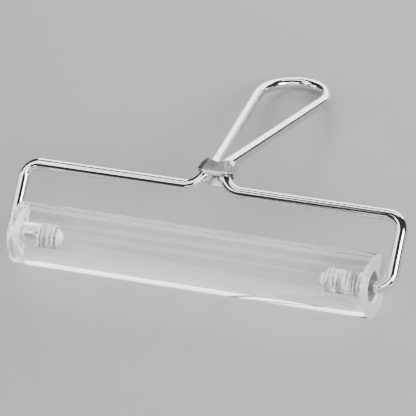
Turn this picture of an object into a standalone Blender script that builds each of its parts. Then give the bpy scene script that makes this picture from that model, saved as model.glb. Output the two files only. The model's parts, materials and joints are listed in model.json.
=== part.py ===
"""Clear acrylic roller in a one-piece bent wire frame with a loop handle.

Units are metres and +Z is up.  The tool is modelled as it lies on a table:
the roller touches it along one line, and so does the far end of the handle.
The origin is on the table under the middle of the frame, below the roller's
axis, with +X along the roller and +Y towards the handle.
"""

import math

import bmesh
import bpy
from mathutils import Matrix, Vector

# Roller: a solid acrylic rod with a stepped blind hole in each end.
ROLLER_D = 0.0300
ROLLER_L = 0.1800
ROLLER_SIDES = 64
ROLLER_EDGE = 0.0004  # chamfer round each end
ROLLER_OFFSET = -0.0018  # the roller lies this far off the middle, within its end play

# The steps of each end hole, from the mouth inwards.
MOUTH_ROOM = 0.00425  # between the wire and the counterbore that clears its bend
MOUTH_DEPTH = 0.0036
MOUTH_CHAMFER = 0.0011
PIN_CLEARANCE = 0.0009  # between the wire and the wall of its hole
HOLE_DEPTH = 0.0212  # from the end face to the end of the straight wall
TIP_D = 0.0042  # where the drill's cone meets its rounded tip

# Wire: one round bar, bent and mirrored about the middle of the tool.
WIRE_D = 0.0056
WIRE_END_CHAMFER = 0.0005
END_ROOM = 0.0060  # a leg's middle stands this far past the end of a centred roller
CROSSBAR_ROOM = 0.0160  # between the roller and the crossbar
PIN_REACH = 0.0118  # a pin's tip lies this far inside the end of a centred roller
PIN_BEND_R = 0.0065
CORNER_R = 0.0075
NECK_START = 0.0093  # where the crossbar's line turns up to the neck
NECK_BEND_R = 0.0103
NECK_RISE = 0.0100  # crossbar to where the arms' plane meets the handle's
NECK_TOP_R = 0.0093
NECK_GAP = 0.0003  # between the two wires where they run side by side
HANDLE_ANGLE = math.radians(54.3)  # between the arms' plane and the handle's
HANDLE_L = 0.1078  # neck to the far end of the loop
HANDLE_END_R = 0.0170

# Clip: a strip of sheet folded round both wires at the neck.
CLIP_SHEET = 0.0009
CLIP_CLEARANCE = 0.0005
CLIP_BELOW = 0.0057  # from the middle of the bend to the square lower edge
CLIP_ABOVE = 0.0020  # to the notch in the middle of the upper edge
CLIP_SQUARE_HALF = 0.0033  # half the width of the lower edge before it slants up
CLIP_LOWER_SLANT = math.radians(36)
CLIP_UPPER_SLANT = math.radians(34)
CLIP_NOTCH_HALF = 0.0036
CLIP_NOTCH_DEPTH = 0.0010
CLIP_FLAT_PAST = 0.0017  # the flat front's edge past the middle of each wire at the bend
CLIP_FLAT_SPREAD = 0.27  # how fast the flat widens below the bend, as the wires part
CLIP_BACK_WIDER = 0.65  # how much of the way from the front's edge to the fold the flat back goes
CLIP_EAR_OUT = 2.8  # radii of the wire from its inner side out to the fold of the ear
CLIP_EAR_SPREAD = 0.20  # how fast the folds part below the bend and close in above it
CLIP_EAR_HALF = 0.0016  # half the height of the fold

ROLLER_R = ROLLER_D / 2
HOLE_D = WIRE_D + 2 * PIN_CLEARANCE
MOUTH_D = WIRE_D + 2 * MOUTH_ROOM
WIRE_R = WIRE_D / 2
FRAME_HALF = ROLLER_L / 2 + END_ROOM
PIN_L = END_ROOM + PIN_REACH
LEG_L = ROLLER_R + CROSSBAR_ROOM + WIRE_R
NECK_L = LEG_L + NECK_RISE
AXIS_Z = ROLLER_R * math.cos(math.pi / ROLLER_SIDES)  # the lowest facet lies on the table
AXIS = Vector((0, 0, AXIS_Z))
ACROSS = Vector((1, 0, 0))


def arms_tilt():
    """Angle of the arms above the table that lets the far end of the loop lie on it."""
    along = NECK_L + HANDLE_L * math.cos(HANDLE_ANGLE)
    down = HANDLE_L * math.sin(HANDLE_ANGLE)
    drop = WIRE_R - AXIS_Z
    return math.asin(drop / math.hypot(along, down)) + math.atan2(down, along)


TILT = arms_tilt()
ARM = Vector((0, math.cos(TILT), math.sin(TILT)))
HANDLE = Vector((0, math.cos(TILT - HANDLE_ANGLE), math.sin(TILT - HANDLE_ANGLE)))


def collection(name):
    made = bpy.data.collections.new(name)
    bpy.context.scene.collection.children.link(made)
    return made


def material(name, colour, roughness, metallic):
    made = bpy.data.materials.new(name)
    made.use_nodes = True
    shader = made.node_tree.nodes["Principled BSDF"]
    shader.inputs["Base Color"].default_value = (*colour, 1)
    shader.inputs["Roughness"].default_value = roughness
    shader.inputs["Metallic"].default_value = metallic
    return made


def add_object(name, data, group, finish=None):
    made = bpy.data.objects.new(name, data)
    group.objects.link(made)
    if finish:
        data.materials.append(finish)
    return made


def mesh_from(name, bm):
    mesh = bpy.data.meshes.new(name)
    bm.to_mesh(mesh)
    bm.free()
    return mesh


def arc_points(centre, start, turn_to, radius, angle, steps):
    """Points of an arc that leaves `start` (a unit vector from the centre) towards `turn_to`."""
    turns = [angle * i / steps for i in range(steps + 1)]
    return [centre + radius * (math.cos(t) * start + math.sin(t) * turn_to) for t in turns]


def bend(before, corner, after, radius, steps):
    """The arc that rounds the corner of a bent wire."""
    way_in = (corner - before).normalized()
    way_out = (after - corner).normalized()
    angle = way_in.angle(way_out)
    inward = (way_out - way_in).normalized()
    centre = corner + inward * radius / math.cos(angle / 2)
    start = (corner - way_in * radius * math.tan(angle / 2) - centre).normalized()
    return arc_points(centre, start, way_in, radius, angle, steps)


def handle_leg(neck_x):
    """Where a straight leg of the loop, leaving the neck, meets the loop's round end."""
    centre_y = HANDLE_L - HANDLE_END_R
    away = math.hypot(neck_x, centre_y)
    spread = math.asin(HANDLE_END_R / away) - math.asin(neck_x / away)
    length = math.sqrt(away**2 - HANDLE_END_R**2)
    neck = AXIS + ARM * NECK_L
    meets = neck + ACROSS * (neck_x + length * math.sin(spread)) + HANDLE * length * math.cos(spread)
    return meets, neck + HANDLE * centre_y, spread


def neck_arcs(neck_x):
    """The two bends between the crossbar and the loop, for a corner at `neck_x`."""
    side = AXIS + ACROSS * FRAME_HALF + ARM * LEG_L
    turn = AXIS + ACROSS * NECK_START + ARM * LEG_L
    corner = AXIS + ACROSS * neck_x + ARM * NECK_L
    lower = bend(side, turn, corner, NECK_BEND_R, 7)
    upper = bend(turn, corner, handle_leg(neck_x)[0], NECK_TOP_R, 10)
    return lower, upper


def neck_corner():
    """The corner's distance from the middle that lets the two wires lie side by side."""
    neck_x = WIRE_R
    for _ in range(4):
        nearest = min(point.x for point in neck_arcs(neck_x)[1])
        neck_x += WIRE_R + NECK_GAP / 2 - nearest
    return neck_x


def half_wire():
    """Middle line of the wire from its right pin to the far end of the loop."""
    neck_x = neck_corner()
    tip = AXIS + ACROSS * (FRAME_HALF - PIN_L)
    foot = AXIS + ACROSS * FRAME_HALF
    shoulder = foot + ARM * LEG_L
    turn = AXIS + ACROSS * NECK_START + ARM * LEG_L
    meets, centre, spread = handle_leg(neck_x)
    out = (meets - centre).normalized()
    onward = (HANDLE * math.cos(spread) + ACROSS * math.sin(spread)).normalized()
    line = [tip, tip + ACROSS * WIRE_END_CHAMFER]
    line += bend(tip, foot, shoulder, PIN_BEND_R, 8)
    line += bend(foot, shoulder, turn, CORNER_R, 7)
    lower, upper = neck_arcs(neck_x)
    line += lower + upper
    line += arc_points(centre, out, onward, HANDLE_END_R, math.pi / 2 + spread, 12)
    return line


def mirrored(point):
    return Vector((-point.x, point.y, point.z))


def wire_frame(group, finish):
    """The bent wire: pin, leg, crossbar, neck and loop, and back down the other side."""
    half = half_wire()
    line = half + [mirrored(point) for point in reversed(half[:-1])]
    curve = bpy.data.curves.new("wire_frame", "CURVE")
    curve.dimensions = "3D"
    curve.bevel_depth = WIRE_R
    curve.bevel_resolution = 4
    curve.use_fill_caps = True
    spline = curve.splines.new("POLY")
    spline.points.add(len(line) - 1)
    for knot, point in zip(spline.points, line):
        knot.co = (*point, 1)
    for knot in (spline.points[0], spline.points[-1]):
        knot.radius = 1 - WIRE_END_CHAMFER / WIRE_R
    return add_object("wire_frame", curve, group, finish)


def roller_profile():
    """Half outline of the rod about its axis, from the tip of one hole to the tip of the other."""
    cone = (HOLE_D - TIP_D) / 2
    tip_r = TIP_D / 2
    end = ROLLER_L / 2
    dome = end - HOLE_DEPTH - cone
    upper = []
    for i in range(5):
        turn = math.pi / 2 * (1 - i / 4)
        upper.append((tip_r * math.cos(turn), dome - tip_r * math.sin(turn)))
    upper[0] = (0, dome - tip_r)
    upper += [
        (HOLE_D / 2, end - HOLE_DEPTH),
        (HOLE_D / 2, end - MOUTH_DEPTH),
        (MOUTH_D / 2, end - MOUTH_DEPTH),
        (MOUTH_D / 2, end - MOUTH_CHAMFER),
        (MOUTH_D / 2 + MOUTH_CHAMFER, end),
        (ROLLER_R - ROLLER_EDGE, end),
        (ROLLER_R, end - ROLLER_EDGE),
    ]
    return upper + [(radius, -height) for radius, height in reversed(upper)]


def roller_rod(group, finish):
    """The turned rod, with its length along X and one facet flat on the table."""
    bm = bmesh.new()
    corners = [bm.verts.new((radius, 0, height)) for radius, height in roller_profile()]
    for first, second in zip(corners, corners[1:]):
        bm.edges.new((first, second))
    mesh = mesh_from("roller_rod", bm)
    rod = add_object("roller_rod", mesh, group, finish)
    spin = rod.modifiers.new("turned", "SCREW")
    spin.axis = "Z"
    spin.steps = ROLLER_SIDES
    spin.render_steps = ROLLER_SIDES
    spin.use_merge_vertices = True
    spin.merge_threshold = 0.00001
    spin.use_smooth_shade = True
    half_facet = Matrix.Rotation(math.pi / ROLLER_SIDES, 4, "Z")
    lay_down = Matrix.Rotation(math.pi / 2, 4, "Y")
    place = Matrix.Translation(AXIS + ACROSS * ROLLER_OFFSET)
    rod.matrix_world = place @ lay_down @ half_facet
    return rod


def clip_outline():
    """The flattened shape of the folded strip, across and along the clip."""
    far = CLIP_SQUARE_HALF + 2 * WIRE_D
    half = [
        (CLIP_SQUARE_HALF, -CLIP_BELOW),
        (far, -CLIP_BELOW + (far - CLIP_SQUARE_HALF) * math.tan(CLIP_LOWER_SLANT)),
        (far, CLIP_ABOVE + CLIP_NOTCH_DEPTH + (far - CLIP_NOTCH_HALF) * math.tan(CLIP_UPPER_SLANT)),
        (CLIP_NOTCH_HALF, CLIP_ABOVE + CLIP_NOTCH_DEPTH),
    ]
    other = [(-across, along) for across, along in reversed(half)]
    return half + [(0, CLIP_ABOVE)] + other


def clip_cutter(group, middle, along, up):
    """A prism with the strip's outline, which trims the clip's edges."""
    depth = up * 3 * WIRE_D
    bm = bmesh.new()
    low = [bm.verts.new(middle + ACROSS * x + along * y - depth) for x, y in clip_outline()]
    base = bm.faces.new(low)
    raised = bmesh.ops.extrude_face_region(bm, geom=[base])["geom"]
    top = [item for item in raised if isinstance(item, bmesh.types.BMVert)]
    bmesh.ops.translate(bm, verts=top, vec=2 * depth)
    bmesh.ops.recalc_face_normals(bm, faces=bm.faces)
    cutter = add_object("clip_trim", mesh_from("clip_trim", bm), group)
    cutter.hide_render = True
    cutter.display_type = "WIRE"
    return cutter


def clip_ring(away, bulge):
    """One ring of the clip's inner wall, `away` along the clip from the middle of the bend.

    The wires' middle line falls away on both sides of a corner that stands
    `bulge` above the bend.  The flat front lies over the bend and follows the
    arms below it, and the wider back follows the wires on both sides.
    """
    half = HANDLE_ANGLE / 2
    room = WIRE_R + CLIP_CLEARANCE
    fall = abs(away) * math.tan(half)
    middle = min(0, bulge - fall)
    front = min(room, bulge + room / math.cos(half) + away * math.tan(half))
    back = min(-room, bulge - room / math.cos(half) - fall)
    flat = WIRE_R + CLIP_FLAT_PAST + CLIP_FLAT_SPREAD * max(0, -away)
    ear = NECK_GAP / 2 + CLIP_EAR_OUT * WIRE_R - CLIP_EAR_SPREAD * away
    right = [
        (flat, front),
        (ear, middle + CLIP_EAR_HALF),
        (ear, middle - CLIP_EAR_HALF),
        (flat + CLIP_BACK_WIDER * (ear - flat), back),
    ]
    return right + [(-across, up) for across, up in reversed(right)]


def neck_clip(group, cutters, finish):
    """The folded strip, which follows the wires through the bend at the neck."""
    along = (ARM + HANDLE).normalized()
    up = ACROSS.cross(along).normalized()
    bend_line = neck_arcs(neck_corner())[1]
    middle = max(bend_line, key=lambda point: point.dot(up)).copy()
    middle.x = 0
    bulge = (AXIS + ARM * NECK_L - middle).dot(up)
    middle = AXIS + ARM * NECK_L - up * bulge
    half = HANDLE_ANGLE / 2
    room = WIRE_R + CLIP_CLEARANCE
    front_crease = (room - bulge - room / math.cos(half)) / math.tan(half)
    back_crease = (bulge - room / math.cos(half) + room) / math.tan(half)
    reach = CLIP_BELOW + WIRE_D
    stations = sorted((-reach, front_crease, -back_crease, back_crease, reach))
    bm = bmesh.new()
    rings = []
    for away in stations:
        ring = [middle + along * away + ACROSS * x + up * y for x, y in clip_ring(away, bulge)]
        rings.append([bm.verts.new(corner) for corner in ring])
    for ring, above in zip(rings, rings[1:]):
        for j in range(len(ring)):
            k = (j + 1) % len(ring)
            bm.faces.new((ring[j], ring[k], above[k], above[j]))
    bmesh.ops.recalc_face_normals(bm, faces=bm.faces)
    clip = add_object("neck_clip", mesh_from("neck_clip", bm), group, finish)
    sheet = clip.modifiers.new("sheet", "SOLIDIFY")
    sheet.thickness = CLIP_SHEET
    sheet.offset = 1
    sheet.use_even_offset = True
    trim = clip.modifiers.new("trim", "BOOLEAN")
    trim.operation = "INTERSECT"
    trim.solver = "EXACT"
    trim.object = clip_cutter(cutters, middle, along, up)
    weld = clip.modifiers.new("weld", "WELD")
    weld.merge_threshold = 0.00002
    return clip


def build():
    for old in list(bpy.data.objects):
        bpy.data.objects.remove(old)
    parts = collection("acrylic_brayer")
    cutters = collection("cutters")
    acrylic = material("clear_acrylic", (0.86, 0.88, 0.88), 0.05, 0.0)
    wire = material("bright_wire", (0.78, 0.78, 0.76), 0.12, 1.0)
    sheet = material("clip_sheet", (0.70, 0.70, 0.69), 0.22, 1.0)
    roller_rod(parts, acrylic)
    wire_frame(parts, wire)
    neck_clip(parts, cutters, sheet)


build()
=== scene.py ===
import json
import math

import bmesh
import bpy
from mathutils import Matrix, Vector, noise


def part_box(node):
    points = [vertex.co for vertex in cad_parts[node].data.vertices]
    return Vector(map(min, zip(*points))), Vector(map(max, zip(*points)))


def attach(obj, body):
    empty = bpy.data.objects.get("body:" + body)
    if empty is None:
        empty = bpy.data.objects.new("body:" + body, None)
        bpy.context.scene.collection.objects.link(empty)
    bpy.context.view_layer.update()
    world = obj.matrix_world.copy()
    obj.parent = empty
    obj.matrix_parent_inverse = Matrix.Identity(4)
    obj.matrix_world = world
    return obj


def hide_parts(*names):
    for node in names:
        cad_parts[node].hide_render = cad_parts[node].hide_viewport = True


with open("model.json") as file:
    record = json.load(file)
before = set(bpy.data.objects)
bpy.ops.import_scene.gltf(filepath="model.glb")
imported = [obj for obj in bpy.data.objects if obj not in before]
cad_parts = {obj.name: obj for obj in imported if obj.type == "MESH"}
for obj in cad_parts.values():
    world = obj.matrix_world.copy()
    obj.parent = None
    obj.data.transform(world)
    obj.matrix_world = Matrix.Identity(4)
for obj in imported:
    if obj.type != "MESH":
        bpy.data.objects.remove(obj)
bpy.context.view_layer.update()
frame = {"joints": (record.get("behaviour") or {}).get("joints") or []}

# Camera: it looks down on the tool from the right of its front, from a long
# way off, and is rolled so that the roller runs downhill to the right.
VIEW_AZIMUTH = math.radians(31.04)
VIEW_ELEVATION = math.radians(42.27)
VIEW_ROLL = math.radians(13.57)
VIEW_DISTANCE = 1.715
VIEW_LENS = 324.8  # in millimetres, as the sensor's width
VIEW_SENSOR = 36
VIEW_TARGET = Vector((0.0121, 0.0, 0.0504))

back = Vector((
    math.sin(VIEW_AZIMUTH) * math.cos(VIEW_ELEVATION),
    -math.cos(VIEW_AZIMUTH) * math.cos(VIEW_ELEVATION),
    math.sin(VIEW_ELEVATION),
))
level = Vector((math.cos(VIEW_AZIMUTH), math.sin(VIEW_AZIMUTH), 0))
upright = back.cross(level)
right = level * math.cos(VIEW_ROLL) - upright * math.sin(VIEW_ROLL)
upward = level * math.sin(VIEW_ROLL) + upright * math.cos(VIEW_ROLL)
turned_to_tool = Matrix((right, upward, back)).transposed().to_4x4()
camera = bpy.data.objects.new("camera", bpy.data.cameras.new("camera"))
bpy.context.scene.collection.objects.link(camera)
camera.data.lens = VIEW_LENS
camera.data.sensor_width = VIEW_SENSOR
camera.matrix_world = Matrix.Translation(VIEW_TARGET + back * VIEW_DISTANCE) @ turned_to_tool
bpy.context.scene.camera = camera

# Roller: a rod of clear cast acrylic, polished outside and turned at its ends.
# A stepped hole is drilled in each end for the wire, and the drill leaves its
# walls white and uneven.  Nothing is fixed in the holes: the wire turns in them.
MOUTH_R = 0.00705
MOUTH_DEPTH = 0.0036
MOUTH_CHAMFER = 0.0011
HOLE_R = 0.0037
HOLE_DEPTH = 0.0212
TIP_R = 0.0021
EDGE_CHAMFER = 0.0004
CLEAR_DEPTH = {-1: 0.0128, 1: 0.0056}  # of the left and the right hole, rubbed clear
LATHE_SIDES = 192
RING_STEP = 0.00022  # between the rows of points down a drilled wall
SHARP_EDGE = math.radians(28)

rod_low, rod_high = (Vector(corner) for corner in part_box("roller_rod"))
spin = next(joint for joint in frame["joints"] if joint["name"] == "roller_spin")
rod_axis = Vector(spin["pos_m"])
rod_r = min(rod_axis.z - rod_low.z, rod_high.z - rod_axis.z)
rod_half = (rod_high.x - rod_low.x) / 2
rod_middle = Vector(((rod_low.x + rod_high.x) / 2, rod_axis.y, rod_axis.z))

# a drilled wall: two sets of rings that the drill leaves, and the chips torn out
WIDE_RING = 0.000085
WIDE_PITCH = 0.0022
FINE_RING = 0.000050
FINE_PITCH = 0.00127
FINE_LAG = 1.3
WANDER = 1.5  # radians that the rings crowd together or spread
WANDER_PITCH = 0.0083
BIG_CHIP = 0.000110
SMALL_CHIP = 0.000040
CHIPS_A_METRE = 1300
CHIPS_ROUND = 1.1
SMALL_TO_BIG = 2.7  # small chips to one big chip
END_TO_END = 5  # sets the two holes' chips apart
RINGS_START = 0.0008  # from the bottom of the wall
RUBBED_DOWN = 0.15  # what the wire has left of the rings in the clear part


def drilled_radius(up, turn, side):
    """Radius of a drilled wall, `up` metres from the bottom of its straight part."""
    wave = math.tau * up
    swirl = turn * side
    wander = WANDER * math.sin(wave / WANDER_PITCH + side)
    relief = WIDE_RING * math.sin(wave / WIDE_PITCH + swirl + wander)
    relief += FINE_RING * math.sin(wave / FINE_PITCH + swirl + FINE_LAG - wander)
    chip = Vector((up * CHIPS_A_METRE, CHIPS_ROUND * math.cos(turn),
                   CHIPS_ROUND * math.sin(turn) + END_TO_END * side))
    relief += BIG_CHIP * noise.noise(chip) + SMALL_CHIP * noise.noise(chip * SMALL_TO_BIG)
    if HOLE_DEPTH - up < CLEAR_DEPTH[side]:
        return HOLE_R + relief * RUBBED_DOWN
    return HOLE_R + relief * min(1, up / RINGS_START)


POLISHED, TURNED, DRILLED, FACED, RUBBED = range(5)


def rod_outline():
    """One half's rows, from the tip of its hole round to its middle.

    Each is a radius, or None on a drilled wall, a distance along the rod from
    its middle, and the finish of the band that the row closes.
    """
    cone = HOLE_R - TIP_R
    cone_at = rod_half - HOLE_DEPTH - cone
    rows = [(0, cone_at - TIP_R, DRILLED)]
    for i in range(1, 9):
        turn = math.pi / 2 * i / 8
        rows.append((TIP_R * math.sin(turn), cone_at - TIP_R * math.cos(turn), DRILLED))
    for i in range(1, 4):
        rows.append((TIP_R + cone * i / 4, cone_at + cone * i / 4, DRILLED))
    wall = HOLE_DEPTH - MOUTH_DEPTH
    count = round(wall / RING_STEP)
    for i in range(count + 1):
        rows.append((None, rod_half - HOLE_DEPTH + wall * i / count, DRILLED))
    floor_at = rod_half - MOUTH_DEPTH
    for i in range(1, 5):
        rows.append((HOLE_R + (MOUTH_R - HOLE_R) * i / 4, floor_at, FACED))
    for i in range(1, 4):
        rows.append((MOUTH_R, floor_at + (MOUTH_DEPTH - MOUTH_CHAMFER) * i / 3, FACED))
    for i in range(1, 3):
        out = rod_half - MOUTH_CHAMFER * (1 - i / 2)
        rows.append((MOUTH_R + MOUTH_CHAMFER * i / 2, out, TURNED))
    face_in = MOUTH_R + MOUTH_CHAMFER
    face_out = rod_r - EDGE_CHAMFER
    for i in range(1, 6):
        rows.append((face_in + (face_out - face_in) * i / 5, rod_half, TURNED))
    for i in range(1, 4):
        turn = math.pi / 2 * i / 3
        out = rod_half - EDGE_CHAMFER * (1 - math.cos(turn))
        rows.append((face_out + EDGE_CHAMFER * math.sin(turn), out, TURNED if i < 3 else POLISHED))
    for i in range(1, 13):
        rows.append((rod_r, (rod_half - EDGE_CHAMFER) * (1 - i / 12), POLISHED))
    return rows


half_rows = rod_outline()
rows = [(radius, out, finish, 1) for radius, out, finish in half_rows]
for i in range(len(half_rows) - 2, -1, -1):
    radius, out, _ = half_rows[i]
    rows.append((radius, -out, half_rows[i + 1][2], -1))

bm = bmesh.new()
rings = []
for radius, out, _, side in rows:
    if radius == 0:
        rings.append([bm.verts.new((out, 0, 0))])
        continue
    ring = []
    for i in range(LATHE_SIDES):
        turn = math.tau * i / LATHE_SIDES
        size = radius
        if radius is None:
            size = drilled_radius(abs(out) - rod_half + HOLE_DEPTH, turn, side)
        ring.append(bm.verts.new((out, size * math.cos(turn), size * math.sin(turn))))
    rings.append(ring)
for first, second, (radius, out, finish, side) in zip(rings, rings[1:], rows[1:]):
    if radius is None and rod_half - abs(out) < CLEAR_DEPTH[side]:
        finish = RUBBED
    for j in range(LATHE_SIDES):
        k = (j + 1) % LATHE_SIDES
        if len(first) == 1:
            face = bm.faces.new((first[0], second[j], second[k]))
        elif len(second) == 1:
            face = bm.faces.new((first[j], first[k], second[0]))
        else:
            face = bm.faces.new((first[j], second[j], second[k], first[k]))
        face.material_index = finish
        face.smooth = True
bmesh.ops.recalc_face_normals(bm, faces=bm.faces)
for edge in bm.edges:
    if len(edge.link_faces) == 2 and edge.calc_face_angle(0) > SHARP_EDGE:
        edge.smooth = False
mesh = bpy.data.meshes.new("roller")
bm.to_mesh(mesh)
bm.free()
roller = bpy.data.objects.new("roller", mesh)
bpy.context.scene.collection.objects.link(roller)
roller.location = rod_middle


class Shade:
    """A socket in a node tree that can be used in arithmetic."""

    def __init__(self, tree, socket=None):
        self.tree = tree
        self.socket = socket

    def feed(self, socket, value):
        """Link a socket to another one, or set its value."""
        if isinstance(value, Shade):
            self.tree.links.new(value.socket, socket)
        elif socket.type == "RGBA":
            socket.default_value = (*value, 1)
        else:
            socket.default_value = value

    def node(self, kind, settings=None, sockets=None, output=0):
        """Add a node: its settings are made first, then its sockets are fed."""
        made = self.tree.nodes.new(kind)
        for name, setting in (settings or {}).items():
            setattr(made, name, setting)
        for socket, value in (sockets or {}).items():
            self.feed(made.inputs[socket], value)
        return Shade(self.tree, made.outputs[output])

    def maths(self, operation, *values):
        return self.node("ShaderNodeMath", {"operation": operation}, dict(enumerate(values)))

    def __add__(self, other):
        return self.maths("ADD", self, other)

    def __sub__(self, other):
        return self.maths("SUBTRACT", self, other)

    def __rsub__(self, other):
        return self.maths("SUBTRACT", other, self)

    def __mul__(self, other):
        return self.maths("MULTIPLY", self, other)

    __radd__ = __add__
    __rmul__ = __mul__

    def root(self):
        return self.maths("POWER", self, 0.5)

    def ripple(self):
        """The sine of this value, brought into 0 to 1."""
        return self.maths("SINE", self) * 0.5 + 0.5

    def clamp(self):
        return self.node("ShaderNodeClamp", None, {"Value": self})

    def band(self, low, high):
        """0 below low, 1 above high, with a smooth step between."""
        return self.node("ShaderNodeMapRange", {"interpolation_type": "SMOOTHSTEP"},
                         {"Value": self, "From Min": low, "From Max": high})

    def noise(self, scale, detail):
        """Noise over this vector, with a size of about 1 / scale."""
        return self.node("ShaderNodeTexNoise", {"noise_dimensions": "3D"},
                         {"Vector": self, "Scale": scale, "Detail": detail}, "Fac")

    def stretch(self, x, y, z):
        return self.node("ShaderNodeVectorMath", {"operation": "MULTIPLY"},
                         {0: self, 1: (x, y, z)})

    def blend(self, low, high):
        """A colour between two others, by this value."""
        return self.node("ShaderNodeMix", {"data_type": "RGBA"}, {0: self, 6: low, 7: high}, 2)


class Finish:
    """A material with one Principled shader, and the start of its node tree."""

    def __init__(self, name):
        self.material = bpy.data.materials.new(name)
        self.material.use_nodes = True
        self.tree = self.material.node_tree
        self.shader = self.tree.nodes["Principled BSDF"]
        self.start = Shade(self.tree)
        self.place = self.start.node("ShaderNodeTexCoord", output="Object")

    def from_axis(self):
        """Distance from the object's own X axis, in metres."""
        y, z = (self.start.node("ShaderNodeSeparateXYZ", None, {0: self.place}, axis)
                for axis in ("Y", "Z"))
        return (y * y + z * z).root()

    def attribute(self, name, output):
        return self.start.node("ShaderNodeAttribute", {"attribute_name": name}, None, output)

    def from_inside(self):
        """1 where the surface is seen through the acrylic, 0 where it is seen from the air."""
        return self.start.node("ShaderNodeNewGeometry", output="Backfacing")

    def set(self, sockets):
        for name, value in sockets.items():
            self.start.feed(self.shader.inputs[name], value)

    def bump(self, height, distance, strength):
        sockets = {"Height": height, "Distance": distance, "Strength": strength}
        self.set({"Normal": self.start.node("ShaderNodeBump", None, sockets, "Normal")})

    def let_lamps_through(self, share):
        """Let this share of the lamps' light pass, as clear stock does."""
        passing = self.start.node("ShaderNodeLightPath", output="Is Shadow Ray") * share
        stock = Shade(self.tree, self.shader.outputs[0])
        air = self.start.node("ShaderNodeBsdfTransparent")
        mixed = self.start.node("ShaderNodeMixShader", None, {0: passing, 1: stock, 2: air})
        self.start.feed(self.tree.nodes["Material Output"].inputs["Surface"], mixed)


ACRYLIC_IOR = 1.49
WHITE = (1.0, 1.0, 1.0)

# polished outside, with the fine hairline marks that inking and wiping leave
CLEAR_TINT = (0.935, 0.952, 0.950)
polished = Finish("polished_acrylic")
handling = polished.place.stretch(40, 900, 900).noise(1, 3).band(0.60, 0.78)
smears = polished.place.noise(90, 3).band(0.45, 0.75)
polished.set({
    "Base Color": CLEAR_TINT,
    "Transmission Weight": 1.0,
    "IOR": ACRYLIC_IOR,
    "Roughness": 0.004 + smears * 0.012 + handling * 0.03,
})
polished.bump(polished.place.noise(220, 2) * 0.5 + handling * 0.2, 0.0000025, 0.6)
polished.let_lamps_through(0.88)

# turned ends: lathe rings round the axis, under a quick polish.  From the air
# they are white, and through the rod they are grey in patches.
TURNED_GREY = (0.42, 0.43, 0.44)
TURNED_PALE = (0.95, 0.96, 0.96)
LATHE_RINGS = 9500  # radians of ripple a metre, out from the axis
turned = Finish("turned_acrylic")
lathe = (turned.from_axis() * LATHE_RINGS).ripple()
patches = turned.place.noise(300, 3).band(0.35, 0.7)
through_rod = turned.place.noise(170, 4).band(0.40, 0.60).blend(TURNED_GREY, TURNED_PALE)
turned.set({
    "Base Color": turned.from_inside().blend(WHITE, through_rod),
    "Transmission Weight": 0.30,
    "IOR": ACRYLIC_IOR,
    "Roughness": 0.20 + lathe * 0.06 + patches * 0.12,
})
turned.bump(lathe, 0.000008, 0.5)
turned.let_lamps_through(0.7)

# drilled walls: torn by the drill, and painted grey from the air, painted shade of a deep hole.
# Through the rod they are frosted, whitest on the crests of the rings and on the cone.
PAINTED_SHADE_DRILLED_GREY = (0.55, 0.56, 0.56)
# painted shade: near black where the wall seen through the rod is neither crest, tear nor cone,
# for the dark hole behind it
PAINTED_SHADE_DRILLED_BLACK = (0.07, 0.08, 0.09)
drilled = Finish("drilled_acrylic")
radius = drilled.from_axis()
crest = radius.band(HOLE_R - 0.00010, HOLE_R + 0.00004)
cone_end = 1 - radius.band(HOLE_R - 0.0009, HOLE_R - 0.0004)
torn = drilled.place.stretch(1100, 130, 130).noise(1, 4).band(0.43, 0.56)
grit = drilled.place.stretch(1.6, 1, 1).noise(1500, 4)
white = crest * 0.30 + cone_end * 0.75 + torn * 0.55 + grit.band(0.42, 0.58) * 0.25
white = (white - 0.10).clamp()
drilled.set({
    "Base Color": drilled.from_inside().blend(PAINTED_SHADE_DRILLED_GREY, white.blend(PAINTED_SHADE_DRILLED_BLACK, WHITE)),
    "Transmission Weight": 0.15,
    "IOR": ACRYLIC_IOR,
    "Roughness": 0.60 - white * 0.22,
})
drilled.bump(grit, 0.00006, 0.8)
drilled.let_lamps_through(0.4)

# the flat floor of each counterbore, faced by the cutter and left frosted: painted dark from the
# air, painted shade of a recess that little light reaches, and pale through the rod
PAINTED_SHADE_FACED_DARK = (0.24, 0.25, 0.26)
FACED_FROST = (0.80, 0.82, 0.82)
CUTTER_RINGS = 14000
faced = Finish("faced_acrylic")
tooth = (faced.from_axis() * CUTTER_RINGS).ripple()
speckle = faced.place.noise(1100, 4)
frost = (speckle * 0.6 + tooth * 0.4).blend(FACED_FROST, WHITE)
faced.set({
    "Base Color": faced.from_inside().blend(PAINTED_SHADE_FACED_DARK, frost),
    "Transmission Weight": 0.25,
    "IOR": ACRYLIC_IOR,
    "Roughness": 0.42 + speckle * 0.2,
})
faced.bump(tooth * 0.6 + speckle * 0.4, 0.00003, 0.7)
faced.let_lamps_through(0.5)

# the outer part of each hole, rubbed clear again by the wire that turns in it
THIN_FROST = (0.90, 0.92, 0.92)
rubbed = Finish("rubbed_acrylic")
haze = rubbed.place.stretch(900, 120, 120).noise(1, 4).band(0.50, 0.66)
scuff = rubbed.place.noise(700, 4).band(0.50, 0.70)
rubbed.set({
    "Base Color": (haze * 0.6 + scuff * 0.5).clamp().blend(THIN_FROST, WHITE),
    "Transmission Weight": 0.86,
    "IOR": ACRYLIC_IOR,
    "Roughness": 0.10 + haze * 0.35 + scuff * 0.15,
})
rubbed.bump(haze * 0.7 + scuff * 0.3, 0.00003, 0.5)
rubbed.let_lamps_through(0.9)

for finish in (polished, turned, drilled, faced, rubbed):
    mesh.materials.append(finish.material)
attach(roller, "roller")
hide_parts("roller_rod")

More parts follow.
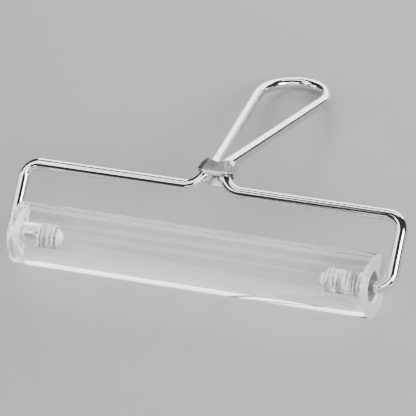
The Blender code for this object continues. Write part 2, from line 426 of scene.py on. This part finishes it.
# Wire: one round bar of bright drawn steel, plated and bent in one piece.  Its
# two ends turn inwards as the pins that the roller spins on, and its middle is
# pulled round into the loop that serves as the handle.
WIRE_D = 0.0056
ROLLER_R = 0.0150
END_ROOM = 0.0060  # from the roller's end to the middle of a leg
PIN_REACH = 0.0118
CROSSBAR_ROOM = 0.0160  # from the roller to the crossbar
PIN_BEND_R = 0.0065
CORNER_R = 0.0075
NECK_START = 0.0093
NECK_BEND_R = 0.0103
NECK_RISE = 0.0100
NECK_TOP_R = 0.0093
NECK_GAP = 0.0003
HANDLE_ANGLE = math.radians(54.3)
HANDLE_L = 0.1078
HANDLE_END_R = 0.0170
PIN_CHAMFER = 0.0005
WIRE_SIDES = 40
WIRE_ROUND = 0.002785  # a hair under the nominal radius, to stay inside the wire's box
WIRE_PIECE = 0.004  # the longest piece of a straight, so that no face is a long sliver
BEND_STEPS = 26
LOOP_STEPS = 48

ACROSS = Vector((1, 0, 0))
axis = Vector((0, 0, rod_axis.z))
wire_r = WIRE_D / 2
frame_half = rod_half + END_ROOM
leg_l = ROLLER_R + CROSSBAR_ROOM + wire_r
neck_l = leg_l + NECK_RISE
along = neck_l + HANDLE_L * math.cos(HANDLE_ANGLE)
down = HANDLE_L * math.sin(HANDLE_ANGLE)
tilt = math.asin((wire_r - axis.z) / math.hypot(along, down)) + math.atan2(down, along)
ARM = Vector((0, math.cos(tilt), math.sin(tilt)))
HANDLE = Vector((0, math.cos(tilt - HANDLE_ANGLE), math.sin(tilt - HANDLE_ANGLE)))
neck = axis + ARM * neck_l


def arc(centre, start, turn_to, radius, angle, steps):
    turns = [angle * i / steps for i in range(steps + 1)]
    return [centre + radius * (math.cos(t) * start + math.sin(t) * turn_to) for t in turns]


def bend(before, corner, after, radius):
    """The arc that rounds one corner of the bent wire."""
    way_in = (corner - before).normalized()
    way_out = (after - corner).normalized()
    angle = way_in.angle(way_out)
    inward = (way_out - way_in).normalized()
    centre = corner + inward * radius / math.cos(angle / 2)
    start = (corner - way_in * radius * math.tan(angle / 2) - centre).normalized()
    return arc(centre, start, way_in, radius, angle, BEND_STEPS)


def loop_leg(neck_x):
    """Where a straight leg of the loop meets its round end, that end's centre, and the slant."""
    centre_y = HANDLE_L - HANDLE_END_R
    away = math.hypot(neck_x, centre_y)
    spread = math.asin(HANDLE_END_R / away) - math.asin(neck_x / away)
    length = math.sqrt(away**2 - HANDLE_END_R**2)
    meets_x = neck_x + length * math.sin(spread)
    meets = neck + ACROSS * meets_x + HANDLE * length * math.cos(spread)
    return meets, neck + HANDLE * centre_y, spread


tip = axis + ACROSS * (frame_half - END_ROOM - PIN_REACH)
foot = axis + ACROSS * frame_half
shoulder = foot + ARM * leg_l
turn_in = axis + ACROSS * NECK_START + ARM * leg_l


def neck_bends(neck_x):
    """The crossbar's bend into the neck, and the neck's bend into the loop."""
    corner = axis + ACROSS * neck_x + ARM * neck_l
    lower = bend(shoulder, turn_in, corner, NECK_BEND_R)
    return lower, bend(turn_in, corner, loop_leg(neck_x)[0], NECK_TOP_R)


# the two strands lie NECK_GAP apart where they come closest
neck_x = wire_r
for _ in range(4):
    neck_x += wire_r + NECK_GAP / 2 - min(point.x for point in neck_bends(neck_x)[1])
meets, loop_centre, spread = loop_leg(neck_x)
line = [tip + ACROSS * PIN_CHAMFER * share for share in (0, 0.4, 0.8, 1)]
line += bend(tip, foot, shoulder, PIN_BEND_R)
line += bend(foot, shoulder, turn_in, CORNER_R)
lower_bend, upper_bend = neck_bends(neck_x)
line += lower_bend + upper_bend
onward = (HANDLE * math.cos(spread) + ACROSS * math.sin(spread)).normalized()
line += arc(loop_centre, (meets - loop_centre).normalized(), onward,
            HANDLE_END_R, math.pi / 2 + spread, LOOP_STEPS)
line += [Vector((-point.x, point.y, point.z)) for point in reversed(line[:-1])]

short = []
for first, second in zip(line, line[1:]):
    pieces = max(1, math.ceil((second - first).length / WIRE_PIECE))
    short += [first.lerp(second, i / pieces) for i in range(pieces)]
line = short + [line[-1]]
travelled = [0.0]
for first, second in zip(line, line[1:]):
    travelled.append(travelled[-1] + (second - first).length)

bm = bmesh.new()
run_layer = bm.verts.layers.float.new("run")
side_layer = bm.verts.layers.float_vector.new("side")
rings = []
way = (line[1] - line[0]).normalized()
outward = ARM.copy()
for i, point in enumerate(line):
    ahead = (line[min(i + 1, len(line) - 1)] - line[max(i - 1, 0)]).normalized()
    outward = way.rotation_difference(ahead) @ outward
    way = ahead
    across = way.cross(outward).normalized()
    outward = across.cross(way).normalized()
    from_tip = min(travelled[i], travelled[-1] - travelled[i])
    size = WIRE_ROUND - max(0, PIN_CHAMFER - from_tip)
    ring = []
    for j in range(WIRE_SIDES):
        turn = math.tau * j / WIRE_SIDES
        corner = bm.verts.new(point + (math.cos(turn) * outward + math.sin(turn) * across) * size)
        corner[run_layer] = travelled[i]
        corner[side_layer] = (math.cos(turn), math.sin(turn), 0)
        ring.append(corner)
    rings.append(ring)
for first, second in zip(rings, rings[1:]):
    for j in range(WIRE_SIDES):
        k = (j + 1) % WIRE_SIDES
        bm.faces.new((first[j], first[k], second[k], second[j])).smooth = True
bm.faces.new(rings[0])
bm.faces.new(rings[-1])
bmesh.ops.recalc_face_normals(bm, faces=bm.faces)
for ring in (rings[0], rings[-1]):
    for j in range(WIRE_SIDES):
        bm.edges.get((ring[j], ring[(j + 1) % WIRE_SIDES])).smooth = False
mesh = bpy.data.meshes.new("wire")
bm.to_mesh(mesh)
bm.free()
wire = bpy.data.objects.new("wire", mesh)
bpy.context.scene.collection.objects.link(wire)

# plated over the marks of drawing, which run along the wire, and dulled in
# patches by handling
BRIGHT_PLATING = (0.86, 0.855, 0.84)
DULL_PLATING = (0.74, 0.735, 0.715)
RUN_SCALE = 1000  # the run along the wire, taken in millimetres

plated = Finish("bright_plated_wire")
run = plated.attribute("run", "Fac") * RUN_SCALE
unrolled = plated.start.node("ShaderNodeCombineXYZ", None, {"Z": run})
around = plated.start.node("ShaderNodeVectorMath", {"operation": "MULTIPLY_ADD"},
                           {0: plated.attribute("side", "Vector"), 1: (1, 1, 0), 2: unrolled})
drawn = around.stretch(9, 9, 0.05).noise(1.0, 4)
hairlines = around.stretch(22, 22, 0.012).noise(1.0, 3).band(0.60, 0.74)
waver = around.stretch(0.5, 0.5, 0.07).noise(1.0, 2)
dull = around.stretch(1.2, 1.2, 0.12).noise(1.0, 4).band(0.48, 0.72)
plated.set({
    "Base Color": (drawn * 0.5 + dull * 0.5).blend(BRIGHT_PLATING, DULL_PLATING),
    "Metallic": 1.0,
    "Roughness": 0.045 + dull * 0.07 + hairlines * 0.10,
})
plated.bump(drawn * 0.25 + hairlines * 0.15 + waver * 2.0, 0.00002, 0.55)
mesh.materials.append(plated.material)
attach(wire, "frame")
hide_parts("wire_frame")

# Clip: a strip of bright sheet steel folded round both strands of the wire at
# the neck.  It is pressed tight over the bend, so its front is flat with a
# fold down each side, and its trimmed edges are rounded by the plating.
CLIP_SHEET = 0.00088
CLIP_CLEARANCE = 0.0005
CLIP_BELOW = 0.0057  # from the middle of the bend to the square lower edge
CLIP_ABOVE = 0.0020  # to the notch in the middle of the upper edge
CLIP_SQUARE_HALF = 0.0033
CLIP_LOWER_SLANT = math.tan(math.radians(36))
CLIP_UPPER_SLANT = math.tan(math.radians(34))
CLIP_NOTCH_HALF = 0.0036
CLIP_NOTCH_DEPTH = 0.0010
CLIP_FLAT_PAST = 0.0017
CLIP_FLAT_SPREAD = 0.27
CLIP_BACK_WIDER = 0.65
CLIP_EAR_OUT = 2.8
CLIP_EAR_SPREAD = 0.20
CLIP_EAR_HALF = 0.0016
CLIP_EDGE_ROUND = 0.00018
FRONT_STANDS_OFF = 0.0006  # the front springs this far off the arms below the bend
FOLD_R = 0.00055  # inside radius of each pressed fold
FOLD_REACH = 0.45  # a fold takes no more than this share of the flat beside it
CREASE_BLUR = 0.0007  # how softly the sheet takes the bend of the wire
SHEET_ROWS = 28

clip_along = (ARM + HANDLE).normalized()
clip_up = ACROSS.cross(clip_along).normalized()
crown = max(upper_bend, key=lambda point: point.dot(clip_up))
bulge = (neck - crown).dot(clip_up)
clip_middle = neck - clip_up * bulge
slope = math.tan(HANDLE_ANGLE / 2)
room = wire_r + CLIP_CLEARANCE
room_slanted = room / math.cos(HANDLE_ANGLE / 2)


def soft_min(first, second):
    """The lesser of two heights, with the crease between them pressed round."""
    mix = max(0, min(1, 0.5 + (second - first) / (2 * CREASE_BLUR)))
    return second * (1 - mix) + first * mix - CREASE_BLUR * mix * (1 - mix)


def clip_lower_edge(across):
    return -CLIP_BELOW + max(0, across - CLIP_SQUARE_HALF) * CLIP_LOWER_SLANT


def clip_upper_edge(across):
    notch = min(1, across / CLIP_NOTCH_HALF) * CLIP_NOTCH_DEPTH
    return CLIP_ABOVE + notch + max(0, across - CLIP_NOTCH_HALF) * CLIP_UPPER_SLANT


def clip_corners(away):
    """The folded strip's inner corners on the right, from the front round to the back."""
    fall = abs(away) * slope
    middle = soft_min(0, bulge - fall)
    front = soft_min(room, bulge + room_slanted + FRONT_STANDS_OFF + away * slope)
    behind = soft_min(-room, bulge - room_slanted - fall)
    flat = wire_r + CLIP_FLAT_PAST + CLIP_FLAT_SPREAD * max(0, -away)
    ear = NECK_GAP / 2 + CLIP_EAR_OUT * wire_r - CLIP_EAR_SPREAD * away
    back_flat = flat + CLIP_BACK_WIDER * (ear - flat)
    corners = [(0, front), (flat, front), (ear, middle + CLIP_EAR_HALF),
               (ear, middle - CLIP_EAR_HALF), (back_flat, behind), (0, behind)]
    return [Vector(corner) for corner in corners]


def folded_section(away):
    """Half of the strip's section: its straight stretches and the rounds between them."""
    corners = clip_corners(away)
    points = [corners[0].lerp(corners[1], i / 6) for i in range(6)]
    for k in range(1, 5):
        before, corner, after = corners[k - 1:k + 2]
        way_in = (corner - before).normalized()
        way_out = (after - corner).normalized()
        cut = min(FOLD_R * math.tan(way_in.angle(way_out) / 2),
                  (after - corner).length * FOLD_REACH, (corner - before).length * FOLD_REACH)
        leave = corner + way_out * cut
        for i in range(6):
            t = i / 5
            points.append((corner - way_in * cut) * (1 - t) ** 2
                          + corner * 2 * t * (1 - t) + leave * t**2)
        if k < 4:
            arrive = corner.lerp(after, 0.8) if (after - corner).length > cut * 3 else leave
            points += [leave.lerp(arrive, i / 4) for i in range(1, 4)]
    leave = points[-1]
    points += [leave.lerp(corners[5], i / 6) for i in range(1, 7)]
    return points


section_size = len(folded_section(0))
columns = []
for u in range(section_size):
    column = []
    for v in range(SHEET_ROWS + 1):
        away = 0.0
        # the sheet's edges depend on how far across a point lies, and that on
        # how far along it is, so both settle together
        for _ in range(12):
            across = folded_section(away)[u].x
            lower, upper = clip_lower_edge(across), clip_upper_edge(across)
            away = lower + (upper - lower) * v / SHEET_ROWS
        column.append((folded_section(away)[u], away))
    columns.append(column)
bm = bmesh.new()
grid = []
for u, hand in ([(u, 1) for u in range(section_size)]
                + [(u, -1) for u in range(section_size - 2, 0, -1)]):
    grid.append([bm.verts.new(clip_middle + ACROSS * point.x * hand + clip_up * point.y
                              + clip_along * away) for point, away in columns[u]])
for first, second in zip(grid, grid[1:] + grid[:1]):
    for v in range(SHEET_ROWS):
        bm.faces.new((first[v], first[v + 1], second[v + 1], second[v])).smooth = True
bmesh.ops.recalc_face_normals(bm, faces=bm.faces)
facing_out = sum((face.calc_center_median() - clip_middle).dot(face.normal) for face in bm.faces)
if facing_out < 0:
    bmesh.ops.reverse_faces(bm, faces=bm.faces)
mesh = bpy.data.meshes.new("clip")
bm.to_mesh(mesh)
bm.free()
clip = bpy.data.objects.new("clip", mesh)
bpy.context.scene.collection.objects.link(clip)
sheet = clip.modifiers.new("sheet", "SOLIDIFY")
sheet.thickness = CLIP_SHEET
sheet.offset = 1
sheet.use_even_offset = True
rounding = clip.modifiers.new("rounding", "BEVEL")
rounding.width = CLIP_EDGE_ROUND
rounding.segments = 3
rounding.limit_method = "ANGLE"
rounding.angle_limit = math.radians(55)

# plated sheet, a little duller than the wire, with the grain of its rolling
BRIGHT_SHEET = (0.72, 0.72, 0.71)
CLOUDED_SHEET = (0.60, 0.60, 0.595)

plated_sheet = Finish("plated_sheet")
grain = plated_sheet.place.stretch(400, 3000, 400).noise(1, 3)
cloud = plated_sheet.place.noise(160, 2)
plated_sheet.set({
    "Base Color": cloud.blend(BRIGHT_SHEET, CLOUDED_SHEET),
    "Metallic": 1.0,
    "Roughness": 0.24 + cloud.band(0.3, 0.7) * 0.05 + grain * 0.03,
})
plated_sheet.bump(cloud, 0.000012, 0.4)
mesh.materials.append(plated_sheet.material)
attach(clip, "frame")
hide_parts("neck_clip")

# Floor and light: a plain pale table under long soft lamps, in a dim room that
# the bright wire mirrors as dark bands.  A lit panel stands low behind the tool
# and shows through the acrylic.
FLOOR_HALF = 1.3
TABLE_PALE = (0.385, 0.39, 0.40)
TABLE_PALER = (0.41, 0.415, 0.425)
DIM_ROOM = (0.045, 0.047, 0.05)
BACKDROP = (0.45, 0.46, 0.47)
TOOL = Vector((0, 0.03, 0.02))

mesh = bpy.data.meshes.new("floor")
bm = bmesh.new()
bmesh.ops.create_grid(bm, x_segments=1, y_segments=1, size=FLOOR_HALF)
bm.to_mesh(mesh)
bm.free()
floor = bpy.data.objects.new("floor", mesh)
bpy.context.scene.collection.objects.link(floor)
table = Finish("pale_table")
mottle = table.place.noise(60, 3)
table.set({
    "Base Color": mottle.blend(TABLE_PALE, TABLE_PALER),
    "Roughness": 0.36 + mottle * 0.1,
})
table.bump(table.place.noise(900, 3), 0.00002, 0.4)
mesh.materials.append(table.material)


def lamp(name, place, width, height, power):
    """A soft panel of light, aimed at the tool."""
    data = bpy.data.lights.new(name, "AREA")
    data.shape = "RECTANGLE"
    data.size = width
    data.size_y = height
    data.energy = power
    made = bpy.data.objects.new(name, data)
    bpy.context.scene.collection.objects.link(made)
    made.location = place
    made.rotation_euler = (TOOL - Vector(place)).to_track_quat("-Z", "Y").to_euler()
    made.visible_camera = False


lamp("key_softbox", (0.30, -0.75, 0.80), 0.9, 0.35, 6)
lamp("left_softbox", (-0.65, -0.33, 0.85), 0.7, 0.50, 3.4)
lamp("right_softbox", (0.87, -0.30, 0.56), 0.6, 0.45, 12)
lamp("top_softbox", (-0.15, 0.30, 0.98), 1.1, 0.26, 3.0)
lamp("back_panel", (-0.03, 0.90, 0.36), 1.27, 0.72, 10.5)
lamp("left_strip", (-0.95, -0.15, 0.30), 0.5, 0.20, 1.6)
lamp("front_strip", (0.20, -0.95, 0.26), 1.1, 0.14, 1.6)

world = bpy.data.worlds.new("room")
world.use_nodes = True
room_air = Shade(world.node_tree)
backdrop_seen = room_air.node("ShaderNodeLightPath", output="Is Camera Ray")
room_air.feed(world.node_tree.nodes["Background"].inputs["Color"],
              backdrop_seen.blend(DIM_ROOM, BACKDROP))
bpy.context.scene.world = world
